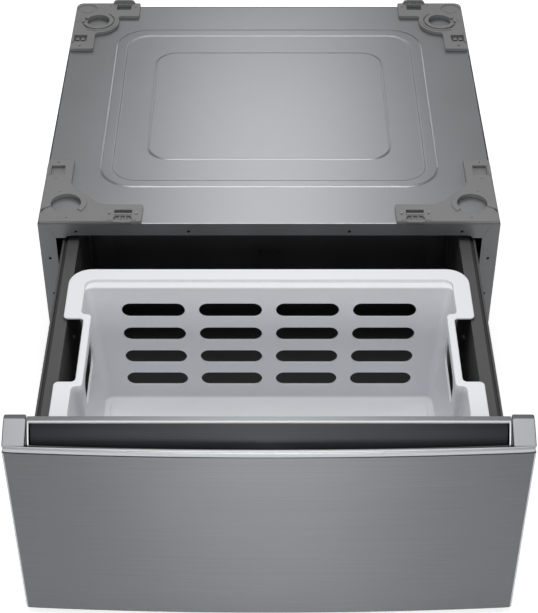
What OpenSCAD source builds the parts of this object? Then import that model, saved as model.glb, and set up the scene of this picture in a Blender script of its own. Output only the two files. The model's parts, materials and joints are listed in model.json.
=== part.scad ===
// Laundry pedestal: a low steel cabinet that a front load washer stands on,
// with a storage drawer on telescopic slides and a white basket inside it.
// Millimetres. +X right, +Y to the back, +Z up.
// The origin is on the floor, at the middle of the four levelling feet.
// The drawer is drawn pulled out as far as its slides allow.

/* [Cabinet] */
// Width over the side panels
body_w = 686; // [680:1:700]
// Depth from the front flanges to the back
body_d = 635; // [625:1:660]
// Height of the flat rim of the top panel over the floor
body_h = 360; // [356:1:372]
// Height of the base over the floor, feet screwed in
base_z = 14; // [14:1:16]
// Thickness of the sheet steel
sheet_t = 1.2; // [1:0.1:1.4]
// Drop of the front top rail
rail_h = 21.2; // [20:0.2:22]
// Extra drop of the rail's mitred ends
rail_end_drop = 4.8; // [3:0.2:5]
// Width of the front flanges of the side panels
flange_w = 25; // [22:1:27]
// Radius of the screw holes in the front rail and flanges
hole_r = 2.2; // [1.5:0.1:3]

/* [Top panel] */
// Height of the pressed bead and of the middle field
bead_h = 2.6; // [1.5:0.1:3.5]
// Width over the outside of the bead
bead_w = 518; // [500:2:540]
// Depth over the outside of the bead
bead_d = 458; // [440:2:470]
// Width of the bead
bead_band = 19; // [14:1:24]
// Width of the raised middle field
field_w = 380; // [340:2:400]
// Depth of the raised middle field
field_d = 313; // [290:1:330]

/* [Washer retainers] */
// Thickness of the retainer plate
retainer_t = 5; // [4:0.5:6]
// Height of the foot ring over the retainer plate
ring_rise = 3; // [2:0.5:4]
// Radius of the foot socket in a front retainer
front_socket_r = 22.5; // [20:0.5:23]
// Radius of the foot socket in a rear retainer
rear_socket_r = 18.5; // [17:0.5:20]
// Width of the wall round a foot socket
ring_w = 8; // [6:0.5:9]

/* [Drawer] */
// Travel of the drawer from closed to open
drawer_travel = 387; // [300:1:400]
// Gap between the closed drawer front and the cabinet
drawer_gap = 2.9; // [2.6:0.1:5]
// Length of the drawer box
drawer_len = 560; // [520:1:570]
// Half the width between the drawer's side walls
side_in = 284; // [282:0.5:285]
// Width of the folded top edge of a drawer side
side_rim_w = 24; // [23:0.5:26]
// Height of the drawer sides' top edge over the floor
side_top = 328; // [320:0.5:328]
// Height of the drawer box's underside over the floor
drawer_z = 45; // [42:1:50]

/* [Slides] */
// Length of each slide member
slide_len = 450; // [420:5:460]
// Height of the outer slide member
slide_h = 45; // [43:1:46]
// Width of a closed slide
slide_w = 12.7; // [12.7:0.1:13]
// Height of the slides' middle over the floor
slide_z = 260; // [240:1:265]
// Diameter of the slide balls
ball_d = 3.5; // [3.2:0.1:3.6]

/* [Drawer front] */
// Depth of the drawer front at its ends
front_t = 47; // [42:0.2:48]
// Extra depth of the bowed front at its middle
bow = 9.6; // [8:0.2:16]
// Height of the front's lower edge over the floor
front_low = 10.5; // [8:0.5:12]
// Height of the seam between the steel skin and the pull lip
skin_top = 326.5; // [325:0.5:332]
// Thickness of the steel skin
skin_t = 0.8; // [0.6:0.1:1]
// Thickness of the pull lip from front to back
lip_w = 8; // [7:0.5:10]
// Height of the pull lip over the skin
lip_h = 9; // [7:0.2:9]
// Width of each end cap
cap_w = 29; // [27:0.5:31]

/* [Basket] */
// Half the width over the basket rim
rim_half = 289; // [287:0.5:290]
// Depth of the basket over its rim
basket_d = 314; // [300:1:315]
// Wall thickness of the basket
basket_t = 3; // [2.5:0.1:3.5]
// Height of the rim from its underside to its top
rim_t = 6; // [5:0.5:6.5]
// Height of the basket's inner floor over the ground
basket_floor_z = 112; // [100:1:120]
// Length of the hand notch in each side of the rim
notch_l = 128; // [110:1:140]
// Length of a vent slot
slot_l = 92; // [80:1:96]
// Height of a vent slot
slot_h = 25; // [18:1:28]

/* [Feet] */
// Diameter of the foot pad
foot_d = 40; // [36:1:44]
// Thickness of the foot pad
foot_t = 8; // [7:0.5:8]
// Diameter of the threaded stem
stem_d = 10; // [8:1:12]
// Spacing of the feet across the width
foot_span_x = 620; // [600:1:630]
// Spacing of the feet from front to back
foot_span_y = 570; // [540:1:580]

/* [Hidden] */
$fn = 48;
fine = 720;
gap = 0.2;
half_w = body_w / 2;
half_d = body_d / 2;
inner_w = half_w - sheet_t - gap;
pan_low_y = -half_d + sheet_t + gap;
pan_high_y = half_d - 2 * sheet_t - gap;
pan_r = 2;
rail_z = body_h - rail_h;
rail_end_z = rail_z - rail_end_drop;
opening_half = half_w - flange_w;
mitre_x = half_w - 12;
rail_hole_xs = [119.5, 287];
flange_hole_zs = [226, 295];
clear_r = 2.1;
rear_screw_zs = [50, 190, 325];
bracket_screw_ys = [-200, 60];
drawer_screw_ys = [40, 250, 360];
rear_socket = [43.5, 62];
front_pad_screws = [[105.7, 19.3], [146, 18.3], [17.8, 106]];
rear_pad_screws = [[17.4, 142.5], [106, 12]];

front_y = -half_d - drawer_gap - drawer_travel;
drawer_back_y = front_y + drawer_len;
bow_r = half_w * half_w / (2 * bow) + bow / 2;
nose_y = front_y - front_t - bow;
cap_x = half_w - cap_w;
pocket_half = cap_x - 4;
lip_top = skin_top + lip_h;
strip_top = lip_top + 11.9;
strip_w = 8.6;
cap_top = strip_top + 4.6;

slide_in_x = side_in + sheet_t;
slide_out_x = slide_in_x + slide_w;
slide_front_y = -half_d + 5.5;
ball_gap = 0.4;
outer_track = slide_h / 2 - sheet_t;
middle_out = outer_track - ball_d - 2 * ball_gap;
middle_in = middle_out - sheet_t;
inner_out = middle_in - ball_d - 2 * ball_gap;
ball_u = 8.6;
cage_len = 120;
cage_t = 0.7;

basket_back_y = front_y + 3.4 + basket_d;
basket_front_y = front_y + 3.4;
basket_wall_y = basket_back_y - 37.4;
basket_top_half = 264;
basket_low_half = 251;
rim_z = side_top;
rim_top = rim_z + rim_t;
bay_half = 250;
notch_y = front_y + 144.4;

// ---- shared shapes ----

// Keeps the children on the right for side 1, or mirrors them to the left for -1.
module on_side(side) {
    if (side < 0) mirror([1, 0, 0]) children();
    else children();
}

module both_sides() {
    for (side = [-1, 1]) on_side(side) children();
}

// A box from its low corner to its high corner.
module block(low, high) {
    translate(low) cube(high - low);
}

// A rectangle with round corners, centred.
module round_rect(w, d, r) {
    square([w - 2 * r, d], center = true);
    square([w, d - 2 * r], center = true);
    for (x = [-1, 1], y = [-1, 1]) translate([x * (w / 2 - r), y * (d / 2 - r)]) circle(r);
}

// A plate with round corners between two heights.
module round_plate(w, d, r, z_low, z_high) {
    translate([0, 0, z_low]) linear_extrude(z_high - z_low) round_rect(w, d, r);
}

// Turns an outline in Y and Z into a bar along X.
module along_x(x_low, x_high) {
    translate([x_low, 0, 0]) rotate([90, 0, 90]) linear_extrude(x_high - x_low) children();
}

// Turns an outline in X and Z into a bar along Y.
module along_y(y_low, y_high) {
    translate([0, y_high, 0]) rotate([90, 0, 0]) linear_extrude(y_high - y_low) children();
}

module hex_head(r, h) {
    cylinder(r = r, h = h, $fn = 6);
}

// A washer head screw that points along -Z from z = 0.
module screw(head_r, shank_r, shank_l) {
    cylinder(r = head_r * 1.3, h = 0.8);
    translate([0, 0, 0.7]) hex_head(head_r, 2.2);
    translate([0, 0, -shank_l]) cylinder(r = shank_r, h = shank_l + 0.1);
}

module at_feet() {
    for (x = [-1, 1], y = [-1, 1]) translate([x * foot_span_x / 2, y * foot_span_y / 2, 0]) children();
}

// ---- cabinet ----

// The outer or, with a negative grow, the inner form of the pressed top panel.
module pan_form(grow, z_low) {
    pan_w = 2 * (inner_w + grow);
    pan_d = pan_high_y - pan_low_y + 2 * grow;
    bead_y = 3;
    translate([0, (pan_high_y + pan_low_y) / 2, 0]) round_plate(pan_w, pan_d, pan_r, z_low, body_h + grow);
    translate([0, bead_y, 0]) difference() {
        round_plate(bead_w + 2 * grow, bead_d + 2 * grow, 52, z_low, body_h + bead_h + grow);
        round_plate(bead_w - 2 * bead_band - 2 * grow, bead_d - 2 * bead_band - 2 * grow, 36,
            body_h + grow, body_h + 10);
    }
    translate([0, bead_y, 0]) round_plate(field_w + 2 * grow, field_d + 2 * grow, 34, z_low,
        body_h + bead_h + grow);
}

module top_pan() {
    flange = 12;
    color("silver") difference() {
        pan_form(0, body_h - flange);
        pan_form(-sheet_t, body_h - flange - 1);
    }
}

module side_panel(side) {
    rear_flange = 18;
    color("silver") on_side(side) difference() {
        union() {
            block([half_w - sheet_t, -half_d, base_z], [half_w, half_d, body_h]);
            along_y(-half_d, -half_d + sheet_t) polygon([
                [half_w, base_z], [half_w, body_h], [mitre_x + gap, body_h],
                [opening_half + gap, rail_end_z], [opening_half, rail_end_z - gap], [opening_half, base_z]
            ]);
            block([half_w - rear_flange, half_d - sheet_t, base_z], [half_w, half_d, body_h]);
        }
        for (z = flange_hole_zs) translate([half_w - 13, -half_d - 1, z]) rotate([-90, 0, 0]) cylinder(r = hole_r, h = 5);
        for (z = rear_screw_zs) translate([half_w - 9, half_d - 3, z]) rotate([-90, 0, 0]) cylinder(r = clear_r, h = 5);
    }
}

module rear_panel() {
    recess = 4;
    back = half_d - sheet_t - gap / 2;
    z_mid = (base_z + body_h) / 2;
    color("silver") difference() {
        union() {
            block([-inner_w, back - sheet_t, base_z + sheet_t + gap], [inner_w, back, body_h]);
            translate([0, back, z_mid]) rotate([90, 0, 0]) round_plate(520, 250, 30, 0, recess + sheet_t);
        }
        translate([0, back + 1, z_mid]) rotate([90, 0, 0])
            round_plate(520 - 2 * sheet_t, 250 - 2 * sheet_t, 30 - sheet_t, 0, recess + 1);
        for (z = rear_screw_zs, side = [-1, 1]) translate([side * (half_w - 9), back - 3, z])
            rotate([-90, 0, 0]) cylinder(r = clear_r, h = 5);
    }
}

module base_pan() {
    rib_h = 5;
    color("silver") difference() {
        union() {
            block([-inner_w, pan_low_y, base_z], [inner_w, pan_high_y, base_z + sheet_t]);
            for (y = [-150, 0, 150]) translate([0, y, 0])
                round_plate(500, 60, 20, base_z, base_z + sheet_t + rib_h);
        }
        for (y = [-150, 0, 150]) translate([0, y, 0])
            round_plate(500 - 2 * sheet_t, 60 - 2 * sheet_t, 20 - sheet_t, base_z - 1, base_z + rib_h);
        at_feet() translate([0, 0, base_z - 1]) cylinder(r = stem_d / 2 + 0.6, h = 5);
    }
}

module front_top_rail() {
    tab_x = 303;
    lip = 18;
    lip_half = 286;
    color("silver") difference() {
        union() {
            along_y(-half_d, -half_d + sheet_t) polygon([
                [-mitre_x, body_h], [-opening_half, rail_end_z], [-tab_x, rail_end_z], [-tab_x + 3, rail_z],
                [tab_x - 3, rail_z], [tab_x, rail_end_z], [opening_half, rail_end_z], [mitre_x, body_h]
            ]);
            block([-lip_half, -half_d, rail_z], [lip_half, -half_d + lip, rail_z + sheet_t]);
        }
        for (x = rail_hole_xs, side = [-1, 1]) translate([side * x, -half_d - 1, body_h - 14.1])
            rotate([-90, 0, 0]) cylinder(r = hole_r, h = 5);
    }
}

module front_bottom_rail() {
    rail_up = 24;
    lip = 20;
    color("silver") {
        block([-opening_half + gap, -half_d, base_z], [opening_half - gap, -half_d + sheet_t, base_z + rail_up]);
        block([-opening_half + gap, -half_d, base_z + rail_up - sheet_t],
            [opening_half - gap, -half_d + lip, base_z + rail_up]);
    }
}

// A plate behind the mitre that ties the top rail to the side panel.
module corner_gusset(side) {
    low_y = -half_d + sheet_t;
    top = body_h - 12.6;
    color("darkgray") on_side(side) along_y(low_y, low_y + sheet_t) polygon([
        [half_w - 2, top], [296, top], [296, rail_end_z + 3], [opening_half, rail_end_z + 3],
        [opening_half + 3, rail_end_z], [opening_half + 3, 306], [half_w - 2, 306]
    ]);
}

module slide_bracket(side) {
    z_low = slide_z - 30;
    z_high = slide_z + 30;
    y_low = -half_d + 2 * sheet_t + gap;
    y_high = slide_front_y + slide_len + 20;
    color("gray") on_side(side) difference() {
        block([slide_out_x, y_low, z_low], [half_w - sheet_t, y_high, z_high]);
        block([slide_out_x + sheet_t, y_low - 1, z_low + sheet_t], [half_w, y_high + 1, z_high - sheet_t]);
        for (y = bracket_screw_ys) translate([slide_out_x + sheet_t + 24, y, z_low - 1]) cylinder(r = clear_r, h = 4);
    }
}

module foot_nuts() {
    color("gray") at_feet() translate([0, 0, base_z + sheet_t]) difference() {
        cylinder(r = 9, h = 8, $fn = 6);
        translate([0, 0, -1]) cylinder(r = stem_d / 2 + 0.4, h = 10);
    }
}

module lock_nuts() {
    nut_t = 5;
    color("gray") at_feet() translate([0, 0, base_z - nut_t]) difference() {
        cylinder(r = 9, h = nut_t, $fn = 6);
        translate([0, 0, -1]) cylinder(r = stem_d / 2 + 0.4, h = nut_t + 2);
    }
}

module cabinet_screws() {
    color("gray") both_sides() {
        for (z = rear_screw_zs) translate([half_w - 9, half_d, z]) rotate([-90, 0, 0]) screw(3.2, 1.8, 6);
        for (y = bracket_screw_ys) translate([slide_out_x + sheet_t + 24, y, slide_z - 30]) rotate([180, 0, 0])
            screw(3.2, 1.8, 0.9);
    }
}

// ---- levelling feet ----

module foot(x_side, y_side) {
    stem_l = 26;
    color("dimgray") translate([x_side * foot_span_x / 2, y_side * foot_span_y / 2, 0]) {
        cylinder(r = foot_d / 2, h = foot_t - 3);
        translate([0, 0, foot_t - 3]) cylinder(r1 = foot_d / 2, r2 = foot_d / 2 - 6, h = 3);
        translate([0, 0, foot_t - 1]) cylinder(r = stem_d / 2, h = stem_l);
    }
}

// ---- washer retainers ----

// A front retainer's outline, right of the middle, measured from the cabinet's front right corner.
module front_retainer_outline() {
    difference() {
        union() {
            translate([2, 24]) square([40, 131]);
            translate([2, 0.5]) square([152, 41.2]);
            translate([38.5, 43]) circle(front_socket_r + ring_w);
            polygon([[38, 93], [42, 93], [59, 74], [84, 49], [97, 41.7], [97, 36], [38, 36]]);
        }
        translate([38.5, 43]) circle(front_socket_r);
        translate([-2, 6]) square([48, 28]);
        translate([10, 114.4]) square([19, 25.5]);
        translate([113, 20.3]) square([25, 8]);
        translate([17.4, 147]) circle(1.3);
        for (p = front_pad_screws) translate(p) circle(clear_r);
    }
}

// A rear retainer's outline, measured from the cabinet's rear right corner.
module rear_retainer_outline() {
    difference() {
        union() {
            translate([2, 2]) square([40, 150]);
            translate([2, 2]) square([112, 42]);
            translate(rear_socket) circle(rear_socket_r + 2 * ring_w + 2);
        }
        translate(rear_socket) circle(rear_socket_r);
        translate([19, 58]) square([10, 8]);
        translate([73, 9.5]) square([25, 13.6]);
        translate([7, 107]) square([21, 22]);
        translate([17.4, 13]) circle(8.5);
        translate([61, 7]) circle(1.3);
        for (p = rear_pad_screws) translate(p) circle(clear_r);
    }
}

// Puts a plate outline in a corner of the cabinet top.
module in_corner(x_side, y_side) {
    translate([x_side * half_w, y_side * half_d, body_h])
        mirror([x_side > 0 ? 1 : 0, 0, 0]) mirror([0, y_side > 0 ? 1 : 0, 0]) children();
}

module front_retainer(side) {
    color([0.36, 0.37, 0.38]) in_corner(side, -1) {
        linear_extrude(retainer_t) front_retainer_outline();
        translate([0, 0, retainer_t - 0.5]) linear_extrude(ring_rise + 0.5) difference() {
            translate([38.5, 43]) circle(front_socket_r + ring_w);
            translate([38.5, 43]) circle(front_socket_r);
            translate([-2, -2]) square([63, 42]);
            translate([-2, -2]) square([22, 90]);
        }
        block([111, 0.5, 0], [140, 14, retainer_t + 1]);
    }
}

module rear_retainer(side) {
    color([0.36, 0.37, 0.38]) in_corner(side, 1) {
        linear_extrude(retainer_t) rear_retainer_outline();
        translate([rear_socket[0], rear_socket[1], retainer_t - 0.5]) linear_extrude(ring_rise + 0.5) difference() {
            circle(rear_socket_r + ring_w);
            circle(rear_socket_r);
            translate([-40, -5]) square([40, 10]);
        }
        block([67, -0.6, 0], [103, 3, retainer_t + 8]);
    }
}

module retainer_screws() {
    color("gray") both_sides() {
        for (p = front_pad_screws)
            translate([half_w - p[0], -half_d + p[1], body_h + retainer_t]) screw(1.8, 1.4, 4.8);
        for (p = rear_pad_screws)
            translate([half_w - p[0], half_d - p[1], body_h + retainer_t]) screw(1.8, 1.4, 4.8);
    }
}

// ---- slides ----

// Places a slide section: x runs from the cabinet towards the drawer, y is up.
// The members are drawn where they sit when the drawer is open by the given share of its travel.
module slide_bar(side, share, from, len) {
    y_low = slide_front_y - share * drawer_travel + from;
    on_side(side) translate([slide_out_x, 0, slide_z]) mirror([1, 0, 0]) along_y(y_low, y_low + len) children();
}

module slide_outer(side) {
    color("lightgray") slide_bar(side, 0, 0, slide_len) difference() {
        translate([0, -slide_h / 2]) square([11, slide_h]);
        translate([sheet_t, -outer_track]) square([11, 2 * outer_track]);
    }
}

module slide_middle(side) {
    color("lightgray") slide_bar(side, 0.5, 0, slide_len) difference() {
        translate([4.6, -middle_out]) square([6, 2 * middle_out]);
        translate([4.6 + sheet_t, -middle_in]) square([6, 2 * middle_in]);
    }
}

module slide_inner(side) {
    color("lightgray") slide_bar(side, 1, 0, slide_len) difference() {
        translate([7.4, -inner_out]) square([slide_w - 7.4, 2 * inner_out]);
        translate([7, -inner_out + sheet_t]) square([slide_w - 7 - sheet_t, 2 * (inner_out - sheet_t)]);
    }
}

// A bent strip that keeps two rows of balls apart, with its balls.
module ball_cage(side, share, from, web_u, row_v) {
    balls = 6;
    pitch = (cage_len - 20) / (balls - 1);
    color("gold") {
        slide_bar(side, share, from, cage_len) difference() {
            translate([web_u, -row_v - cage_t / 2]) square([10.4 - web_u, 2 * row_v + cage_t]);
            translate([web_u + cage_t, -row_v + cage_t / 2]) square([10.4 - web_u, 2 * row_v - cage_t]);
        }
        on_side(side) for (i = [0 : balls - 1], v = [-row_v, row_v])
            translate([slide_out_x - ball_u, slide_front_y - share * drawer_travel + from + 10 + i * pitch, slide_z + v])
                sphere(d = ball_d, $fn = 24);
    }
}

module ball_cage_outer(side) {
    ball_cage(side, 0.25, slide_len / 2 - cage_len / 2, 2.4, (outer_track + middle_out) / 2);
}

module ball_cage_inner(side) {
    ball_cage(side, 0.75, slide_len / 2 - cage_len / 2, 6.25, (middle_in + inner_out) / 2);
}

// ---- drawer box ----

module drawer_side(side) {
    t = sheet_t;
    out_x = side_in + side_rim_w;
    hem = 3;
    groove = 4;
    groove_x = out_x - hem - 4.6;
    color([0.3, 0.31, 0.32]) on_side(side) difference() {
        along_y(front_y, drawer_back_y) polygon([
        [side_in - 15, drawer_z], [side_in + t, drawer_z], [side_in + t, side_top - t],
        [groove_x - t, side_top - t], [groove_x - t, side_top - groove - t],
        [out_x - t, side_top - groove - t], [out_x - t, side_top - 15], [out_x, side_top - 15],
        [out_x, side_top + 0.6], [out_x - hem, side_top + 0.6], [out_x - hem, side_top - groove],
        [groove_x, side_top - groove], [groove_x, side_top], [side_in, side_top],
        [side_in, drawer_z + t], [side_in - 15, drawer_z + t]
        ]);
        for (y = drawer_screw_ys) translate([side_in - 1, front_y + y, slide_z]) rotate([0, 90, 0])
            cylinder(r = clear_r, h = 4);
    }
}

module drawer_floor() {
    color([0.3, 0.31, 0.32])
        block([-side_in + gap, front_y, drawer_z + sheet_t], [side_in - gap, drawer_back_y, drawer_z + 2 * sheet_t]);
}

// A sheet bent round the two rear corners, with short returns along the sides.
module drawer_rear_wall() {
    w = 2 * (side_in - gap);
    depth = 120;
    corner_r = 30;
    z_low = drawer_z + 2 * sheet_t;
    color([0.3, 0.31, 0.32]) translate([0, drawer_back_y - depth / 2, 0]) difference() {
        round_plate(w, depth, corner_r, z_low, 300);
        round_plate(w - 2 * sheet_t, depth - 2 * sheet_t, corner_r - sheet_t, z_low - 1, 301);
        block([-w, -depth, z_low - 1], [w, 0, 301]);
    }
}

module drawer_front_wall() {
    color([0.3, 0.31, 0.32])
        block([-side_in + gap, front_y, drawer_z + 2 * sheet_t], [side_in - gap, front_y + sheet_t, side_top - 4]);
}

module rear_catch() {
    w = 32;
    proud = 12;
    y_high = drawer_back_y - sheet_t;
    color([0.3, 0.31, 0.32]) difference() {
        block([-w / 2, y_high - proud, 80], [w / 2, y_high, 176]);
        block([-w / 2 + sheet_t, y_high - proud - 1, 79], [w / 2 - sheet_t, y_high - sheet_t, 177]);
    }
}

module drawer_screws() {
    color("gray") both_sides() for (y = drawer_screw_ys) translate([side_in, front_y + y, slide_z])
        rotate([0, -90, 0]) screw(3, 1.8, 1);
}

// ---- drawer front ----

// The front's plan, bowed at the front, set back from the bow and cut off at a rear line.
module bow_plan(inset, half, rear_y) {
    intersection() {
        translate([0, nose_y + bow_r]) circle(r = bow_r - inset, $fn = fine);
        translate([-half, nose_y - 1]) square([2 * half, rear_y - nose_y + 1]);
    }
}

module bow_block(inset, half, rear_y, z_low, z_high) {
    translate([0, 0, z_low]) linear_extrude(z_high - z_low) bow_plan(inset, half, rear_y);
}

module front_skin() {
    color([0.6, 0.61, 0.62]) difference() {
        bow_block(0, half_w, front_y - 1.5, front_low, skin_top);
        bow_block(skin_t, half_w - skin_t, front_y, front_low + skin_t, skin_top - skin_t);
        bow_block(lip_w - gap, pocket_half + 2, front_y, skin_top - 2, skin_top + 1);
    }
}

module front_core() {
    edge = half_w - 1.6;
    low = front_low + 1.2;
    high = skin_top - 1.2;
    color("gray") difference() {
        block([-edge, front_y - 34, low], [edge, front_y, high]);
        block([-edge + sheet_t, front_y - 35, low + sheet_t], [edge - sheet_t, front_y - sheet_t, high - sheet_t]);
        block([-pocket_half - 3, front_y - 35, high - 5], [pocket_half + 3, front_y - sheet_t, high + 1]);
    }
}

module handle_trim() {
    lip_r = lip_w / 2;
    color([0.78, 0.79, 0.8]) difference() {
        union() {
            bow_block(0, half_w, front_y, skin_top, lip_top - 2.5);
            bow_block(1.5, half_w - 1, front_y, skin_top, lip_top);
            block([-cap_x + gap, front_y - strip_w, skin_top], [cap_x - gap, front_y, strip_top]);
        }
        intersection() {
            bow_block(lip_w, pocket_half + 2.4, front_y, skin_top - 1, strip_top);
            block([-half_w, nose_y, skin_top - 2], [half_w, front_y - strip_w, strip_top + 1]);
        }
        for (side = [-1, 1]) on_side(side)
            block([cap_x - gap, front_y - front_t + lip_w, skin_top + 3], [half_w + 1, front_y + 1, strip_top]);
    }
}

// The finger pocket: a plate that slopes down to the lip, a bowed front wall and two end walls.
module handle_pocket() {
    wall = 2.4;
    rear = front_y - strip_w - 1.4;
    top = strip_top - 1.2;
    run = 46;
    slope = 1.13;
    low = top - run * slope;
    end_tip = front_y - front_t + lip_w + 1.6;
    color([0.22, 0.22, 0.23]) {
        intersection() {
            along_x(-pocket_half - 1.4, pocket_half + 1.4) polygon([
                [rear, top], [rear - run, low], [rear - run, low - 1.5 * wall], [rear, top - 1.5 * wall]
            ]);
            bow_block(lip_w + wall / 2, half_w, front_y, 200, strip_top);
        }
        difference() {
            bow_block(lip_w + gap, pocket_half + 1.4, nose_y + 26, low - 2, skin_top);
            bow_block(lip_w + wall, pocket_half + 3, nose_y + 27, low - 3, skin_top + 1);
        }
        both_sides() along_x(pocket_half, pocket_half + 1.4) polygon([
            [rear, top], [end_tip, lip_top - 1.8], [end_tip, low - 2], [rear, top - 1.5 * wall]
        ]);
    }
}

// A thin bright frame round the pocket: along its rear edge and down both ends.
module handle_bezel() {
    rear = front_y - strip_w;
    tip = front_y - front_t + lip_w + 0.5;
    color("whitesmoke") {
        block([-pocket_half - 2, rear - 1.2, strip_top - 1], [pocket_half + 2, rear, strip_top + 0.3]);
        both_sides() along_x(pocket_half + 0.2, pocket_half + 2) polygon([
            [rear - 1, strip_top - 1], [rear - 1, strip_top + 0.3], [tip, lip_top + 0.8], [tip, lip_top - 0.6]
        ]);
    }
}

module end_cap(side) {
    rear = front_y;
    tip = front_y - front_t;
    color([0.7, 0.71, 0.72]) on_side(side) intersection() {
        along_x(cap_x, half_w) polygon([
            [rear, skin_top + 3.2], [rear, cap_top], [rear - 10.5, cap_top], [tip + 5, lip_top + 1],
            [tip + 5, lip_top + gap], [tip + lip_w + gap, lip_top + gap], [tip + lip_w + gap, skin_top + 3.2]
        ]);
        block([cap_x, tip, skin_top], [half_w, rear, cap_top + 1]);
    }
}

module front_bumpers() {
    color("dimgray") both_sides() for (z = [60, 300]) translate([half_w - 10, front_y, z])
        rotate([-90, 0, 0]) cylinder(r = 5, h = drawer_gap - 0.4);
}

// ---- basket ----

// The tapered body of the basket, with a wall offset of grow.
module basket_form(grow, z_low, z_high, r) {
    mid_y = (basket_wall_y + basket_front_y + 14) / 2;
    len = basket_wall_y - basket_front_y - 14;
    hull() {
        translate([0, mid_y, z_low]) linear_extrude(0.1)
            round_rect(2 * (basket_low_half + grow), len - 4 + 2 * grow, r, $fn = 32);
        translate([0, mid_y, z_high - 0.1]) linear_extrude(0.1)
            round_rect(2 * (basket_top_half + grow), len + 2 * grow, r, $fn = 32);
    }
}

// A stadium slot through a wall that faces front or back.
module vent_slot(x, z) {
    translate([x, 0, z]) rotate([90, 0, 0]) linear_extrude(80, center = true) {
        square([slot_l - slot_h, slot_h], center = true);
        for (end = [-1, 1]) translate([end * (slot_l - slot_h) / 2, 0]) circle(slot_h / 2, $fn = 24);
    }
}

module basket() {
    rim_mid_y = (basket_back_y + basket_front_y) / 2;
    color("white") difference() {
        union() {
            translate([0, rim_mid_y, 0]) round_plate(2 * rim_half, basket_d, 30, rim_z, rim_top);
            basket_form(basket_t, basket_floor_z - basket_t, rim_z + 1, 22);
        }
        difference() {
            basket_form(0, basket_floor_z, rim_top + 1, 20);
            both_sides() block([bay_half, notch_y - notch_l / 2, 0], [rim_half, notch_y + notch_l / 2, rim_top + 2]);
        }
        both_sides() {
            block([bay_half + 10.5, notch_y - notch_l / 2 + 8, rim_z - 1],
                [rim_half + 1, notch_y + notch_l / 2 - 8, rim_top + 1]);
            block([bay_half + basket_t, notch_y - notch_l / 2 + 8, basket_floor_z],
                [rim_half + 1, notch_y + notch_l / 2 - 8, rim_z]);
            block([bay_half - 5, notch_y - 50, 275], [rim_half, notch_y + 50, 318]);
        }
        for (i = [-1.5 : 1 : 1.5], k = [0 : 3]) for (y = [basket_wall_y, basket_front_y + 14])
            translate([0, y, 0]) vent_slot(i * 112.5, 286 - k * 45);
    }
}

// ---- nodes ----

top_pan();
side_panel(-1);  // side_panel_left
side_panel(1);  // side_panel_right
rear_panel();
base_pan();
front_top_rail();
front_bottom_rail();
corner_gusset(-1);  // corner_gusset_left
corner_gusset(1);  // corner_gusset_right
front_retainer(-1);  // retainer_front_left
front_retainer(1);  // retainer_front_right
rear_retainer(-1);  // retainer_rear_left
rear_retainer(1);  // retainer_rear_right
retainer_screws();
cabinet_screws();
foot_nuts();
lock_nuts();
slide_bracket(-1);  // slide_bracket_left
slide_bracket(1);  // slide_bracket_right
slide_outer(-1);  // slide_outer_left
slide_outer(1);  // slide_outer_right
ball_cage_outer(-1);  // ball_cage_outer_left
ball_cage_outer(1);  // ball_cage_outer_right
slide_middle(-1);  // slide_middle_left
slide_middle(1);  // slide_middle_right
ball_cage_inner(-1);  // ball_cage_inner_left
ball_cage_inner(1);  // ball_cage_inner_right
slide_inner(-1);  // slide_inner_left
slide_inner(1);  // slide_inner_right
foot(-1, -1);  // foot_front_left
foot(1, -1);  // foot_front_right
foot(-1, 1);  // foot_rear_left
foot(1, 1);  // foot_rear_right
drawer_side(-1);  // drawer_side_left
drawer_side(1);  // drawer_side_right
drawer_rear_wall();
drawer_front_wall();
drawer_floor();
rear_catch();
drawer_screws();
front_core();
front_skin();
handle_trim();
handle_pocket();
handle_bezel();
end_cap(-1);  // end_cap_left
end_cap(1);  // end_cap_right
front_bumpers();
basket();
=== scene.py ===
import json
import math
import bpy
import bmesh
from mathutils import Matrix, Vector


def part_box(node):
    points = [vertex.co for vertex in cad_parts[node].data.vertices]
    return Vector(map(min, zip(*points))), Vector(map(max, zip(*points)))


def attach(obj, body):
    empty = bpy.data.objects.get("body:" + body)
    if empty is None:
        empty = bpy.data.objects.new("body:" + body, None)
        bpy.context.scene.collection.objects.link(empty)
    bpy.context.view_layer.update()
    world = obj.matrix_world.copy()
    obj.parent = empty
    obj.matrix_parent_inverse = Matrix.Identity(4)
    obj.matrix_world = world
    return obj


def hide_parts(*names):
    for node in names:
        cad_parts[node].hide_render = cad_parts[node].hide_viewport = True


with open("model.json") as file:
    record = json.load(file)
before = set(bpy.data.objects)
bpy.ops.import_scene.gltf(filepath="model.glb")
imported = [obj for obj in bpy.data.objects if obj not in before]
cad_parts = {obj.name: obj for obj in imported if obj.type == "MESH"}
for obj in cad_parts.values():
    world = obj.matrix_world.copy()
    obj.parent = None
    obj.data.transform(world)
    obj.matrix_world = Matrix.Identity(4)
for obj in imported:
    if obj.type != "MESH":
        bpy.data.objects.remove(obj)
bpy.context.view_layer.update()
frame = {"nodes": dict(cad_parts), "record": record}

# Lengths are in millimetres until they become a mesh. The camera and the lights are in metres.
MM = 0.001

# How far the pull's tip stands out from the drawer's front wall, and the lip above the skin.
PULL_REACH = 47
LIP_RISE = 9


# ---- where the CAD says things are ----

def box_mm(node):
    low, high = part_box(node)
    return low * 1000, high * 1000


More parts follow.
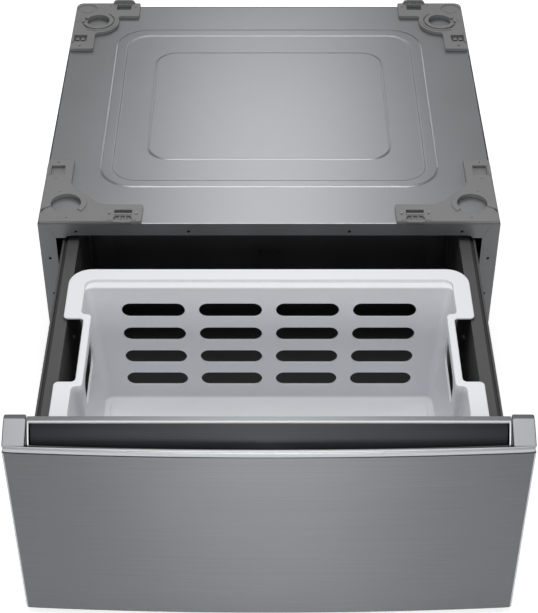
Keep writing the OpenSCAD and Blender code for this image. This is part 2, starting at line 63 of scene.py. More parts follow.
panel_low, panel_high = box_mm("side_panel_right")
HALF_W = panel_high.x
CAB_FRONT = panel_low.y
CAB_BACK = panel_high.y
CAB_TOP = panel_high.z
skin_low, skin_high = box_mm("front_skin")
NOSE = skin_low.y
FRONT = box_mm("drawer_front_wall")[0].y
cap_low, cap_high = box_mm("end_cap_right")
CAP_X = cap_low.x
TIP = FRONT - PULL_REACH
BOW = TIP - NOSE
BOW_R = HALF_W * HALF_W / (2 * BOW) + BOW / 2
STRIP_TOP = box_mm("handle_trim")[1].z
LIP_TOP = skin_high.z + LIP_RISE
basket_low, basket_high = box_mm("basket")
pan_low, pan_high = box_mm("top_pan")


def bow_y(x, inset=0.0):
    """The bowed front's y at x, set back by inset."""
    r = BOW_R - inset
    return NOSE + BOW_R - math.sqrt(r * r - x * x)


# ---- mesh helpers ----

def fillet(points, radii, steps=6):
    """Rounds each corner of a closed outline. Each corner gives steps + 1 points."""
    out = []
    count = len(points)
    for i in range(count):
        corner = Vector(points[i])
        before = Vector(points[i - 1]) - corner
        after = Vector(points[(i + 1) % count]) - corner
        radius = radii[i] if isinstance(radii, (list, tuple)) else radii
        angle = before.angle(after)
        if radius < 1e-6 or abs(angle - math.pi) < 1e-4:
            out.extend([tuple(corner)] * (steps + 1))
            continue
        reach = min(radius / math.tan(angle / 2), 0.499 * before.length, 0.499 * after.length)
        radius = reach * math.tan(angle / 2)
        middle = (before.normalized() + after.normalized()).normalized()
        centre = corner + middle * (radius / math.sin(angle / 2))
        start = corner + before.normalized() * reach - centre
        end = corner + after.normalized() * reach - centre
        turn = start.angle_signed(end)
        for k in range(steps + 1):
            a = -turn * k / steps
            x = start.x * math.cos(a) - start.y * math.sin(a)
            y = start.x * math.sin(a) + start.y * math.cos(a)
            out.append((centre.x + x, centre.y + y))
    return out


def rect(x0, y0, x1, y1):
    return [(x0, y0), (x1, y0), (x1, y1), (x0, y1)]


def circle(cx, cy, r, steps=40):
    points = []
    for k in range(steps):
        a = 2 * math.pi * k / steps
        points.append((cx + r * math.cos(a), cy + r * math.sin(a)))
    return points


def loft(loops, closed=True, cap_start=False, cap_end=False):
    """Joins loops of equal length with quads."""
    verts = [v for loop in loops for v in loop]
    n = len(loops[0])
    faces = []
    for k in range(len(loops) - 1):
        for i in range(n if closed else n - 1):
            j = (i + 1) % n
            faces.append((k * n + i, k * n + j, (k + 1) * n + j, (k + 1) * n + i))
    if cap_start:
        faces.append(tuple(range(n)))
    if cap_end:
        faces.append(tuple(range((len(loops) - 1) * n, len(loops) * n)))
    return verts, faces


def plate(outline, holes, z_low, z_high, bevel=0.6):
    """A flat plate with holes and rounded edges."""
    curve = bpy.data.curves.new("plate", "CURVE")
    curve.dimensions = "2D"
    curve.fill_mode = "BOTH"
    curve.extrude = (z_high - z_low) / 2 - bevel
    curve.bevel_depth = bevel
    curve.bevel_resolution = 2
    curve.offset = -bevel
    for points in [outline] + list(holes):
        kept = []
        for i, point in enumerate(points):
            if (Vector(point) - Vector(points[i - 1])).length > 1e-4:
                kept.append(point)
        spline = curve.splines.new("POLY")
        spline.points.add(len(kept) - 1)
        for spline_point, point in zip(spline.points, kept):
            spline_point.co = (point[0], point[1], 0, 1)
        spline.use_cyclic_u = True
    temp = bpy.data.objects.new("plate", curve)
    bpy.context.scene.collection.objects.link(temp)
    bpy.context.view_layer.update()
    mesh = bpy.data.meshes.new_from_object(temp.evaluated_get(bpy.context.evaluated_depsgraph_get()))
    middle = (z_high + z_low) / 2
    verts = [(v.co.x, v.co.y, v.co.z + middle) for v in mesh.vertices]
    faces = [tuple(p.vertices) for p in mesh.polygons]
    bpy.data.objects.remove(temp)
    bpy.data.curves.remove(curve)
    bpy.data.meshes.remove(mesh)
    return verts, faces


def join(parts):
    """Puts several (verts, faces) pairs into one."""
    verts = []
    faces = []
    for part_verts, part_faces in parts:
        base = len(verts)
        verts.extend(part_verts)
        faces.extend(tuple(i + base for i in f) for f in part_faces)
    return verts, faces


def moved(part, change):
    """Puts every point of a shape through change(x, y, z)."""
    verts, faces = part
    return [change(*v) for v in verts], faces


def prism(outline, low, high, axis):
    """Extrudes an outline along X, Y or Z between two positions."""
    def place(p, t):
        if axis == "X":
            return (t, p[0], p[1])
        if axis == "Y":
            return (p[0], t, p[1])
        return (p[0], p[1], t)
    loops = [[place(p, low) for p in outline], [place(p, high) for p in outline]]
    return loft(loops, True, True, True)


def new_object(name, part):
    """Makes a mesh object in metres, with doubled points merged and its faces turned outward."""
    merge = 0.002
    verts, faces = part
    mesh = bpy.data.meshes.new(name)
    mesh.from_pydata([(x * MM, y * MM, z * MM) for x, y, z in verts], [], faces)
    bm = bmesh.new()
    bm.from_mesh(mesh)
    bmesh.ops.remove_doubles(bm, verts=bm.verts, dist=merge * MM)
    bmesh.ops.dissolve_degenerate(bm, edges=bm.edges, dist=merge * MM)
    bmesh.ops.recalc_face_normals(bm, faces=bm.faces)
    bm.to_mesh(mesh)
    bm.free()
    obj = bpy.data.objects.new(name, mesh)
    bpy.context.scene.collection.objects.link(obj)
    return obj


def apply_modifiers(obj):
    """Turns the object's modifiers into its mesh."""
    bpy.context.view_layer.update()
    mesh = bpy.data.meshes.new_from_object(obj.evaluated_get(bpy.context.evaluated_depsgraph_get()))
    obj.modifiers.clear()
    obj.data = mesh
    return obj


def cut(obj, part):
    """Takes a closed shape away from an object."""
    tool = new_object("tool", part)
    change = obj.modifiers.new("cut", "BOOLEAN")
    change.operation = "DIFFERENCE"
    change.solver = "EXACT"
    change.object = tool
    apply_modifiers(obj)
    bpy.data.objects.remove(tool)
    return obj


def thicken(obj, amount):
    change = obj.modifiers.new("thickness", "SOLIDIFY")
    change.thickness = amount * MM
    change.offset = -1
    change.use_even_offset = True
    return apply_modifiers(obj)


def round_edges(obj, width, segments=3, limit=35):
    change = obj.modifiers.new("round", "BEVEL")
    change.width = width * MM
    change.segments = segments
    change.limit_method = "ANGLE"
    change.angle_limit = math.radians(limit)
    change.harden_normals = False
    return obj


def shade(obj, angle=35):
    obj.data.polygons.foreach_set("use_smooth", [True] * len(obj.data.polygons))
    obj.data.set_sharp_from_angle(angle=math.radians(angle))
    change = obj.modifiers.new("normals", "WEIGHTED_NORMAL")
    change.keep_sharp = True
    return obj


def second_finish(obj, material, chosen):
    """Gives the faces that chosen(centre, normal) picks, in millimetres, a second material."""
    obj.data.materials.append(material)
    for face in obj.data.polygons:
        if chosen(face.center / MM, face.normal):
            face.material_index = 1
    return obj


def finish_piece(obj, material, body, slot, *nodes):
    """Gives a piece its material and the body it rides on, and hides the CAD nodes it replaces. The slot
    argument is not used.
    """
    obj.data.materials.clear()
    obj.data.materials.append(material)
    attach(obj, body)
    if nodes:
        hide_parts(*nodes)
    return obj


# ---- materials ----

def surface(name, dark, light, rough, metallic=0.0, grain=700.0, stretch=(1, 1, 1), bump=0.05,
            depth=0.0002, cloud=6.0, aniso=0.0):
    """A finish whose colour, roughness and height vary with a fine grain and a broad cloud.

    grain and cloud are noise scales, stretch draws the grain out into brushing, bump and depth
    set its relief, and aniso is how much a brushed metal smears its highlight.
    """
    made = bpy.data.materials.new(name)
    made.use_nodes = True
    nodes = made.node_tree.nodes
    link = made.node_tree.links.new
    shader = nodes["Principled BSDF"]
    shader.inputs["Metallic"].default_value = metallic
    where = nodes.new("ShaderNodeTexCoord")
    scaled = nodes.new("ShaderNodeMapping")
    scaled.inputs["Scale"].default_value = stretch
    link(where.outputs["Object"], scaled.inputs["Vector"])
    fine = nodes.new("ShaderNodeTexNoise")
    fine.inputs["Scale"].default_value = grain
    fine.inputs["Detail"].default_value = 3.0
    link(scaled.outputs["Vector"], fine.inputs["Vector"])
    broad = nodes.new("ShaderNodeTexNoise")
    broad.inputs["Scale"].default_value = cloud
    broad.inputs["Detail"].default_value = 2.0
    link(where.outputs["Object"], broad.inputs["Vector"])
    both = nodes.new("ShaderNodeMath")
    both.operation = "MULTIPLY_ADD"
    both.inputs[1].default_value = 0.7
    link(fine.outputs["Fac"], both.inputs[0])
    share = nodes.new("ShaderNodeMath")
    share.operation = "MULTIPLY"
    share.inputs[1].default_value = 0.3
    link(broad.outputs["Fac"], share.inputs[0])
    link(share.outputs["Value"], both.inputs[2])
    ramp = nodes.new("ShaderNodeValToRGB")
    ramp.color_ramp.elements[0].position = 0.3
    ramp.color_ramp.elements[0].color = (*dark, 1)
    ramp.color_ramp.elements[1].position = 0.7
    ramp.color_ramp.elements[1].color = (*light, 1)
    link(both.outputs["Value"], ramp.inputs["Fac"])
    link(ramp.outputs["Color"], shader.inputs["Base Color"])
    spread = nodes.new("ShaderNodeMapRange")
    spread.inputs["To Min"].default_value = rough - 0.05
    spread.inputs["To Max"].default_value = rough + 0.05
    link(both.outputs["Value"], spread.inputs["Value"])
    link(spread.outputs["Result"], shader.inputs["Roughness"])
    height = nodes.new("ShaderNodeBump")
    height.inputs["Strength"].default_value = bump
    height.inputs["Distance"].default_value = depth
    link(fine.outputs["Fac"], height.inputs["Height"])
    link(height.outputs["Normal"], shader.inputs["Normal"])
    if aniso:
        shader.inputs["Anisotropic"].default_value = aniso
        shader.inputs["Anisotropic Rotation"].default_value = 0.25
        along = nodes.new("ShaderNodeTangent")
        along.direction_type = "RADIAL"
        along.axis = "Z"
        link(along.outputs["Tangent"], shader.inputs["Tangent"])
    return made


def grey(value, tint=(1.0, 1.0, 1.0)):
    return tuple(value * t for t in tint)


COOL = (0.97, 1.0, 1.04)
BLUE = (0.95, 0.98, 1.1)
MATERIALS = {
    # The first thirteen are the record's slots.
    "cabinet_paint": surface("satin_grey_paint", grey(0.31, COOL), grey(0.36, COOL), 0.36,
                             metallic=0.9, grain=1400, bump=0.06),
    "zinc_steel": surface("zinc_plate", grey(0.36, COOL), grey(0.44, COOL), 0.36,
                          metallic=0.9, grain=400, bump=0.04),
    "cage_steel": surface("yellow_zinc", (0.42, 0.36, 0.2), (0.52, 0.46, 0.28), 0.35,
                          metallic=0.9, grain=500),
    "foot_steel": surface("black_coat", grey(0.018), grey(0.026), 0.5, grain=900, bump=0.08),
    "retainer_plastic": surface("grained_dark_plastic", grey(0.17), grey(0.205), 0.45,
                                grain=1600, bump=0.12, depth=0.0003),
    "drawer_paint": surface("dark_satin_paint", grey(0.06), grey(0.072), 0.4,
                            grain=1400, bump=0.06),
    "front_steel": surface("brushed_steel", grey(0.2, COOL), grey(0.27, COOL), 0.6,
                           metallic=1.0, grain=260, stretch=(0.012, 1, 12), bump=0.05,
                           depth=0.0001, cloud=3, aniso=0.8),
    "core_steel": surface("galvanised_steel", grey(0.3, COOL), grey(0.4, COOL), 0.45,
                          metallic=0.8, grain=90),
    "trim_silver": surface("satin_silver", grey(0.36, COOL), grey(0.4, COOL), 0.35, grain=1200),
    "pocket_dark": surface("dark_brushed", grey(0.035, BLUE), grey(0.05, BLUE), 0.35,
                           metallic=0.9, grain=260, stretch=(0.012, 8, 8), bump=0.05,
                           depth=0.0001, cloud=3, aniso=0.7),
    "bezel_bright": surface("bright_edge", grey(0.66), grey(0.72), 0.3, metallic=0.1, grain=900),
    "bumper_rubber": surface("soft_rubber", grey(0.01), grey(0.016), 0.7, grain=900, bump=0.2),
    "basket_white": surface("white_plastic", (0.76, 0.77, 0.80), (0.80, 0.81, 0.84), 0.42,
                            grain=1500, bump=0.08, depth=0.0002),
    # The rest are used on single pieces or faces.
    # A darker copy of the cabinet paint, painted shade for the side panels.
    "side_painted_shade": surface("shaded_copy_of_satin_grey", grey(0.13, COOL), grey(0.155, COOL), 0.38,
                          metallic=0.8, grain=1400, bump=0.06),
    "strip_silver": surface("satin_strip", grey(0.28, COOL), grey(0.33, COOL), 0.34,
                            metallic=0.9, grain=1200),
    # Near-black, laid in the drawer sides' grooves as painted shade.
    "groove_painted_shade": surface("groove_painted_shade", grey(0.012), grey(0.018), 0.6, grain=900, bump=0.1),
    # A darker copy of the satin silver: painted shade and reflection on the end caps' rear and outer faces.
    "cap_shade_paint": surface("painted_shade_cap_silver", grey(0.11, COOL), grey(0.14, COOL), 0.4,
                        metallic=0.2, grain=1200),
    # The lip's satin silver, also laid on the skin's vertical corners as a painted highlight.
    "lip_silver_and_painted_highlight": surface("satin_silver_and_painted_highlight", grey(0.42, COOL), grey(0.46, COOL), 0.36,
                          metallic=0.5, grain=1200),
    # A darker copy of the cabinet paint, painted shade for the front top rail.
    "rail_painted_shade": surface("rail_paint_painted_shade", grey(0.13, COOL), grey(0.16, COOL), 0.4,
                                metallic=0.4, grain=1400),
    # A dark steel, painted shade for the slide brackets inside the cabinet.
    "bracket_painted_shade": surface("shadowed_steel", grey(0.05), grey(0.07), 0.5,
                            metallic=0.5, grain=300),
}


# ---- top panel ----

def rounded(cy, half_x, half_y, r, z):
    """A rounded rectangle across the middle of the panel, centred on y = cy."""
    flat = fillet(rect(-half_x, cy - half_y, half_x, cy + half_y), r, 14)
    return [(x, y, z) for x, y in flat]


def make_top_pan():
    """The panel's rolled rim, its pressed bead and the raised field in the middle."""
    mid = (pan_low.y + pan_high.y) / 2
    half_x = pan_high.x
    half_y = (pan_high.y - pan_low.y) / 2
    rim = CAB_TOP
    skirt = 12
    corner = 2.5
    edge = 1.6
    rise = 1.2
    sheet = 1.2
    loops = [rounded(mid, half_x, half_y, corner, rim - skirt)]
    for k in range(6):
        a = math.pi / 2 * k / 5
        pull_in = edge * (1 - math.cos(a))
        z = rim - edge + edge * math.sin(a)
        loops.append(rounded(mid, half_x - pull_in, half_y - pull_in, corner, z))

    def slope(start, end, up, middle):
        """A soft step between two rounded rectangles, each given as half x, half y and radius."""
        steps = 8
        for k in range(steps + 1):
            t = k / steps
            s = t * t * (3 - 2 * t)
            z = rim + rise * (s if up else 1 - s)
            half_a, half_b, r = [a + (b - a) * t for a, b in zip(start, end)]
            loops.append(rounded(middle, half_a, half_b, r, z))

    slope((263.5, 232.5, 56), (259, 228, 52), True, 5)
    slope((244, 214, 40), (240.6, 210.6, 37), False, 3)
    slope((192.5, 159, 37), (188, 154.5, 33), True, 3)
    obj = new_object("top_panel", loft(loops, True, False, True))
    thicken(obj, sheet)
    shade(obj, 50)
    finish_piece(obj, MATERIALS["cabinet_paint"], "cabinet", "cabinet_paint", "top_pan")


# ---- washer retainers ----

def arc(centre, r, start, end):
    """Points on a circle from one angle to another, in degrees, about 6 degrees apart."""
    count = max(2, int(abs(end - start) / 6.0) + 1)
    out = []
    for k in range(count + 1):
        a = math.radians(start + (end - start) * k / count)
        out.append((centre[0] + r * math.cos(a), centre[1] + r * math.sin(a)))
    return out


def spokes(centre, r, angles):
    """Points on a circle at the given angles, in degrees."""
    points = []
    for t in angles:
        a = math.radians(t)
        points.append((centre[0] + r * math.cos(a), centre[1] + r * math.sin(a)))
    return points


def front_retainer_parts():
    """The front right retainer: u runs in from the cabinet's side, v back from its front."""
    ring = (38.5, 43)
    points = [(2, 0.5), (154, 0.5), (155, 41.7), (97, 41.7), (84, 47.5)]
    points += [(60, 73), (42, 93), (42, 155), (2, 155)]
    outline = fillet(points, [2, 1.5, 4, 18, 14, 14, 20, 2, 2])
    window = fillet(rect(112.5, 19.6, 138.8, 28.4), 0.8, 3)
    leg_window = fillet(rect(8, 114, 29, 139), 1, 3)
    socket = circle(*ring, 22.5)
    pocket_points = [(115, 14.5), (136.5, 14.5), (139.5, 8), (137.5, 1.8), (114, 1.8), (112, 8)]
    pocket = fillet(pocket_points, 1.0, 3)
    small = [circle(17.4, 147, 1.2, 12), circle(42, 9.5, 0.9, 10), circle(9.5, 52, 0.9, 10)]
    parts = [plate(outline, [socket, window, pocket, leg_window] + small, 0, 5.4, 0.7),
             plate(fillet(rect(6, 112, 31, 141), 1, 2), [], 0.2, 1.6, 0.4)]
    # The raised foot ring: a hook that runs into the leg's thicker top.
    outer = arc(ring, 31, -38, 58)
    inner = arc(ring, 22.5, 196, -38)
    leg = [(41.5, 92), (41.5, 154), (2.6, 154), (2.6, 20), (3.4, 25), (9, 31.5), (16.5, 36.4)]
    raised = outer + leg + inner
    holes = [leg_window, circle(17.4, 147, 1.2, 12), circle(27, 71, 0.9, 10)]
    parts.append(plate(fillet(raised, 0.9, 2), holes, 4.8, 7.2, 0.6))
    # The clip: a lip behind its pocket, two ribs in it, a lip on the front edge and two side ramps.
    parts.append(plate(fillet(rect(112, 15.6, 139.4, 19.2), 0.8, 2), [], 2, 6.6, 0.6))
    parts.append(plate(fillet(rect(111, 1, 141, 15.2), 1, 2), [], 0.2, 1.6, 0.4))
    for u in (121.5, 130.2):
        parts.append(plate(fillet(rect(u - 1.1, 1, u + 1.1, 15.2), 0.5, 2), [], 1, 4.4, 0.4))
    parts.append(plate(fillet(rect(112.8, -1.4, 138.4, 1.6), 0.8, 2), [], 2.2, 5.9, 0.6))
    for base, tip in ((111.8, 103), (139.8, 146.5)):
        ramp = fillet([(base, 11.5), (tip, 4.2), (tip, 2.6), (base, 2.6)], 0.6, 2)
        parts.append(plate(ramp, [], 4.8, 6.5, 0.5))
    # The side wall beside the leg's window.
    parts.append(plate(fillet(rect(1.6, 113, 6.2, 141), 1, 2), [], 5, 8.6, 0.7))
    return join(parts)


def rear_retainer_parts():
    """The rear right retainer: u runs in from the cabinet's side, v forward from its back."""
    hole = (43.5, 62)
    lobe = spokes(hole, 36.5, range(-22, 84, 6))
    base = [(2, -1), (114, -1), (114, 43.5), (82, 43.5)]
    tail = [(44, 99), (41.5, 104), (41.5, 152), (2, 152)]
    points = base + lobe + tail
    radii = [11, 3, 3, 4] + [6] * len(lobe) + [6, 8, 2.5, 2.5]
    outline = fillet(points, radii, 4)
    window = fillet(rect(73, 3.2, 98, 22), 1, 3)
    leg_window = fillet(rect(6.7, 107, 28, 129), 1, 3)
    small = [circle(17.4, 142.5, 1.9, 12), circle(106, 8, 1.2, 10), circle(61, 7, 1.2, 10)]
    pit = (21, 20.5)
    lower = [circle(*hole, 19.5), window, leg_window] + small
    upper = [circle(*hole, 28.5), window, leg_window, circle(*pit, 17)] + small
    parts = [plate(outline, lower, 0, 4.6, 0.6), plate(outline, upper, 3.8, 6.2, 0.7)]
    # The socket's collar, open over a short arc, and a step outside it.
    collar = spokes(hole, 26.6, range(-160, 169, 6)) + spokes(hole, 19.5, range(168, -161, -6))
    parts.append(plate(fillet(collar, 0.9, 2), [], 3.8, 8.2, 0.9))
    step = spokes(hole, 32.6, range(-60, 130, 6)) + spokes(hole, 28.9, range(124, -61, -6))
    parts.append(plate(fillet(step, 0.8, 2), [], 5.6, 7.4, 0.6))
    # The corner boss.
    parts.append(plate(circle(*pit, 11.2), [], 3.8, 5.4, 0.5))
    # The clip wall on the rear edge, with two holes through it.
    wall_points = [(63.5, 4), (106.5, 4), (101.5, 12.2), (96.5, 13.6), (73.5, 13.6), (68.5, 12.2)]
    wall = fillet(wall_points, 1.4, 3)
    holes = [circle(79, 6.0, 2.0, 16), circle(92, 6.0, 2.0, 16)]
    flat = plate(wall, holes, -1.0, 2.6, 0.5)
    parts.append(moved(flat, lambda x, y, z: (x, z, y)))
    # Two floor tabs in the leg's window.
    for u in (8, 17.5):
        parts.append(plate(fillet(rect(u, 109, u + 6.5, 117), 1, 2), [], 0.4, 1.8, 0.4))
    # The raised rectangle and the side rail.
    parts.append(plate(fillet(rect(3, 52, 20, 64), 2, 3), [circle(11, 58, 3, 16)], 5.6, 6.8, 0.4))
    parts.append(plate(fillet(rect(2, 104, 6.4, 133), 1, 2), [], 5.6, 8.6, 0.6))
    return join(parts)


def make_retainers():
    front = front_retainer_parts()
    rear = rear_retainer_parts()
    for side, word in ((-1, "left"), (1, "right")):
        def place_front(u, v, h, side=side):
            return (side * (HALF_W - u), CAB_FRONT + v, CAB_TOP + h)

        def place_rear(u, v, h, side=side):
            return (side * (HALF_W - u), CAB_BACK - v, CAB_TOP + h)
        for part, place, end in ((front, place_front, "front"), (rear, place_rear, "rear")):
            node = "retainer_" + end + "_" + word
            obj = new_object(node + "_moulding", moved(part, place))
            shade(obj, 40)
            finish_piece(obj, MATERIALS["retainer_plastic"], "cabinet", "retainer_plastic", node)


# ---- basket ----

def basket_loop(half, y_back, y_front, r, r_front, notch, y_one, y_two, z):
    """One level of the basket: a rounded rectangle with a notch in each side."""
    notch = min(notch, half - 0.3)
    rn = min(6.5, (half - notch) * 0.49)
    points = [(half, y_front), (half, y_one), (notch, y_one)]
    points += [(notch, y_two), (half, y_two), (half, y_back)]
    points += [(-x, y) for x, y in reversed(points)]
    radii = [r_front, rn, rn, rn, rn, r]
    return [(x, y, z) for x, y in fillet(points, radii + radii[::-1], 8)]


def make_basket():
    """One moulding, lofted up its outside, over the rim and down its inside to the floor."""
    half = basket_high.x
    y_front = basket_low.y
    y_back = basket_high.y
    top = basket_high.z
    floor = basket_low.z + 3
    notch_mid = FRONT + 144.4
    notch_half = 64.5
    rim_side = 264.5
    low_side = 251.0
    bay = 250.0
    wall_back = y_back - 37.4
    wall_front = y_front + 7
    thick = 2.8
    wall_rise = top - 9 - floor
    loops = []

    def level(side, notch, grow, back, front, r, r_front, z):
        """Adds a loop. grow lengthens the notch at both of its ends."""
        one = notch_mid - notch_half - grow
        two = notch_mid + notch_half + grow
        loops.append(basket_loop(side, back, front, r, r_front, notch, one, two, z))

    def wall(t, out):
        """The side wall's half width part of the way down, on its inner or outer face."""
        return rim_side + (low_side - rim_side) * t + out

    # The outside, from the bottom up to the rim.
    level(low_side - 8, bay - 8, 9, wall_back - 9, wall_front + 9, 13, 6, floor - thick)
    level(low_side - 2, bay - 2, 8, wall_back - 2, wall_front + 2, 15, 8, floor - thick)
    level(low_side + 1.8, bay + 1.8, 7, wall_back + 1.6, wall_front - 1.6, 17, 9, floor - 1.6)
    for t in (0.98, 0.66, 0.33, 0.04):
        level(wall(t, thick), bay + thick, 6.2, wall_back - 2 * t + thick, wall_front + 2 * t - thick,
              11 + 6 * t, 10, floor + wall_rise * (1 - t))
    level(rim_side + 4, bay + 4, 5, wall_back + 4.4, y_front + 3, 12, 10, top - 8.0)
    level(half - 2.6, 257.8, 2.6, y_back - 2.6, y_front + 1.8, 29.5, 9, top - 3.4)
    level(half - 0.4, 260.0, 0.4, y_back - 0.4, y_front + 0.4, 31.4, 10, top - 3.4)
    for k in range(6):
        a = math.pi / 2 * k / 5
        s = 1.8 * (1 - math.cos(a))
        level(half - s, 260.5 - s, s, y_back - s, y_front + s, 32 - s, 10, top - 1.8 + 1.8 * math.sin(a))
    # The inside, from the rim's inner edge down to the floor.
    for k in range(5):
        a = math.pi / 2 * k / 4
        s = 1.5 * math.sin(a)
        drop = 1.5 * (1 - math.cos(a))
        level(rim_side + 1.5 - s, bay + 1.5 - s, 7.5 + s, y_back - 22.8 - s, y_front + 5 + s * 0.6,
              14 - s, 9, top - drop)
    level(rim_side - 0.1, bay, 9, y_back - 24.8, y_front + 6.4, 12, 8, top - 4.6)
    level(rim_side - 0.2, bay - 0.1, 9, y_back - 25.6, y_front + 6.6, 11, 8, top - 5.6)
    level(rim_side - 0.3, bay - 0.1, 9, y_back - 32.8, y_front + 6.8, 9, 8, top - 5.8)
    for k in range(1, 5):
        a = math.pi / 2 * k / 4
        level(rim_side - 0.4, bay - 0.2, 9, y_back - 33.0 - 2.4 * math.sin(a), wall_front, 9, 8,
              top - 5.8 - 2.4 * (1 - math.cos(a)))
    for t in (0.33, 0.66, 0.97):
        level(wall(t, -0.4), bay - 0.2, 9, wall_back - 2 * t, wall_front + 2 * t, 9 + 5 * t, 8,
              floor + wall_rise * (1 - t))
    for k in range(5):
        a = math.pi / 2 * k / 4
        s = 3.5 * (1 - math.cos(a))
        level(low_side - 0.2 - s, bay - 0.6 - s, 9, wall_back - 2 - s, wall_front + 2 + s, 14, 8,
              floor + 3.5 - 3.5 * math.sin(a))
    level(241.0, 240.6, 9, wall_back - 12.0, wall_front + 13, 12, 8, floor)
    level(240.0, 239.6, 9, wall_back - 13.0, wall_front + 14, 11.4, 8, floor + 1.6)
    level(239.4, 239.0, 9, wall_back - 13.6, wall_front + 14.6, 11, 8, floor + 1.8)
    # The short rib in the middle of the floor's back edge.
    rib_outline = fillet(rect(-10, wall_back - 15, 10, wall_back - 2), 1.5, 3)
    rib = prism(rib_outline, floor - 1, floor + 2.4, "Z")
    obj = new_object("slotted_basket", join([loft(loops, True, True, True), rib]))
    # Four rows of four vent slots, in the back wall and the front wall.
    slot_step_x = 112.5
    slot_step_z = 45
    slot_half = 46
    slot_r = 12.5
    slots = []
    for column in range(4):
        x = (column - 1.5) * slot_step_x
        for row in range(4):
            z = floor + 174 - row * slot_step_z
            flat = rect(x - slot_half, z - slot_r, x + slot_half, z + slot_r)
            stadium = fillet(flat, slot_r - 0.01, 12)
            for y in (wall_back, wall_front):
                slots.append(prism(stadium, y - 5.8, y + 5.8, "Y"))
    cut(obj, join(slots))
    # The hand hold in each side notch.
    hands = []
    for side in (-1, 1):
        grip = fillet(rect(notch_mid - 50, 270, notch_mid + 50, 318), 13, 8)
        hands.append(prism(grip, side * 240, side * 258, "X"))
    cut(obj, join(hands))
    round_edges(obj, 1.0, 3, 50)
    apply_modifiers(obj)
    shade(obj, 40)
    finish_piece(obj, MATERIALS["basket_white"], "drawer", "basket_white", "basket")


# ---- drawer front ----

def front_plan(inset, half, rear, r=5.0, steps=48):
    """The plan line of the bowed front, from the left rear round to the right rear."""
    line = [(-half, rear)]
    corner_y = bow_y(half, inset)
    for k in range(7):
        a = math.pi / 2 * k / 6
        line.append((-half + r - r * math.cos(a), corner_y + r - r * math.sin(a)))
    inner = half - r
    for k in range(1, steps):
        x = -inner + 2 * inner * k / steps
        blend = min(1.0, (inner - abs(x)) / 20.0)
        line.append((x, bow_y(x, inset) * blend + min(bow_y(x, inset), corner_y) * (1 - blend)))
    line += [(-x, y) for x, y in reversed(line[:8])]
    return line


def make_front_skin():
    """The bowed stainless skin, with a painted highlight up each of its vertical corners."""
    low = skin_low.z
    high = skin_high.z
    loops = []
    for inset, z in ((12, low), (3, low), (1.2, low + 0.4), (0.35, low + 1.3), (0, low + 3), (0, high - 1.2),
                     (0.5, high - 0.3), (1.2, high), (7.5, high)):
        corner = max(4.0 - inset * 0.4, 1.0)
        plan = front_plan(inset, HALF_W + 1 - inset, FRONT - 1.5, corner)
        loops.append([(x, y, z) for x, y in plan])
    obj = new_object("bowed_skin", loft(loops, False))
    thicken(obj, 0.8)
    shade(obj, 35)
    finish_piece(obj, MATERIALS["front_steel"], "drawer", "front_steel", "front_skin")
    # The skin's corner faces get the lip's brighter silver as a painted highlight.
    second_finish(obj, MATERIALS["lip_silver_and_painted_highlight"],
                  lambda at, normal: abs(normal.x) > 0.3 and abs(at.x) > HALF_W - 5)


def make_pull_lip():
    """The satin lip that follows the bow, and the straight strip along the drawer front's rear edge."""
    base = skin_high.z + 0.6
    top = LIP_TOP
    # The lip's section, as how far it is set back from the bow and its height.
    section = [(2.0, base), (1.5, base + 0.5), (1.4, base + 3.4)]
    for k in range(1, 7):
        a = math.pi / 2 * k / 6
        section.append((1.4 + 3.2 * (1 - math.cos(a)), top - 4.2 + 4.2 * math.sin(a)))
    for k in range(4):
        a = math.pi / 2 * k / 3
        section.append((6.6 + 1.4 * math.sin(a), top - 1.4 + 1.4 * math.cos(a)))
    section.append((8.0, base))
    loops = []
    for inset, z in section:
        half = HALF_W + 0.6 - min(inset, 2.4) * 0.6
        line = front_plan(inset, half, FRONT - 8, 4.0)
        narrow = [3.0 * (min(abs(x), 310) / 310) ** 2 * (inset / 8) ** 2 for x, y in line]
        loops.append([(x, y - less, z) for (x, y), less in zip(line, narrow)])
    lip = loft(loops + [loops[0]], False)
    strip_front = FRONT - 8.6
    strip_points = [(strip_front, base), (strip_front, STRIP_TOP), (FRONT, STRIP_TOP), (FRONT, base)]
    strip = fillet(strip_points, 0.5, 2)
    bar = prism(strip, -CAP_X + 0.4, CAP_X - 0.4, "X")
    obj = new_object("pull_lip", lip)
    shade(obj, 40)
    finish_piece(obj, MATERIALS["lip_silver_and_painted_highlight"], "drawer", "trim_silver", "handle_trim")
    obj = new_object("rear_strip", bar)
    shade(obj, 40)
    finish_piece(obj, MATERIALS["strip_silver"], "drawer", "trim_silver")


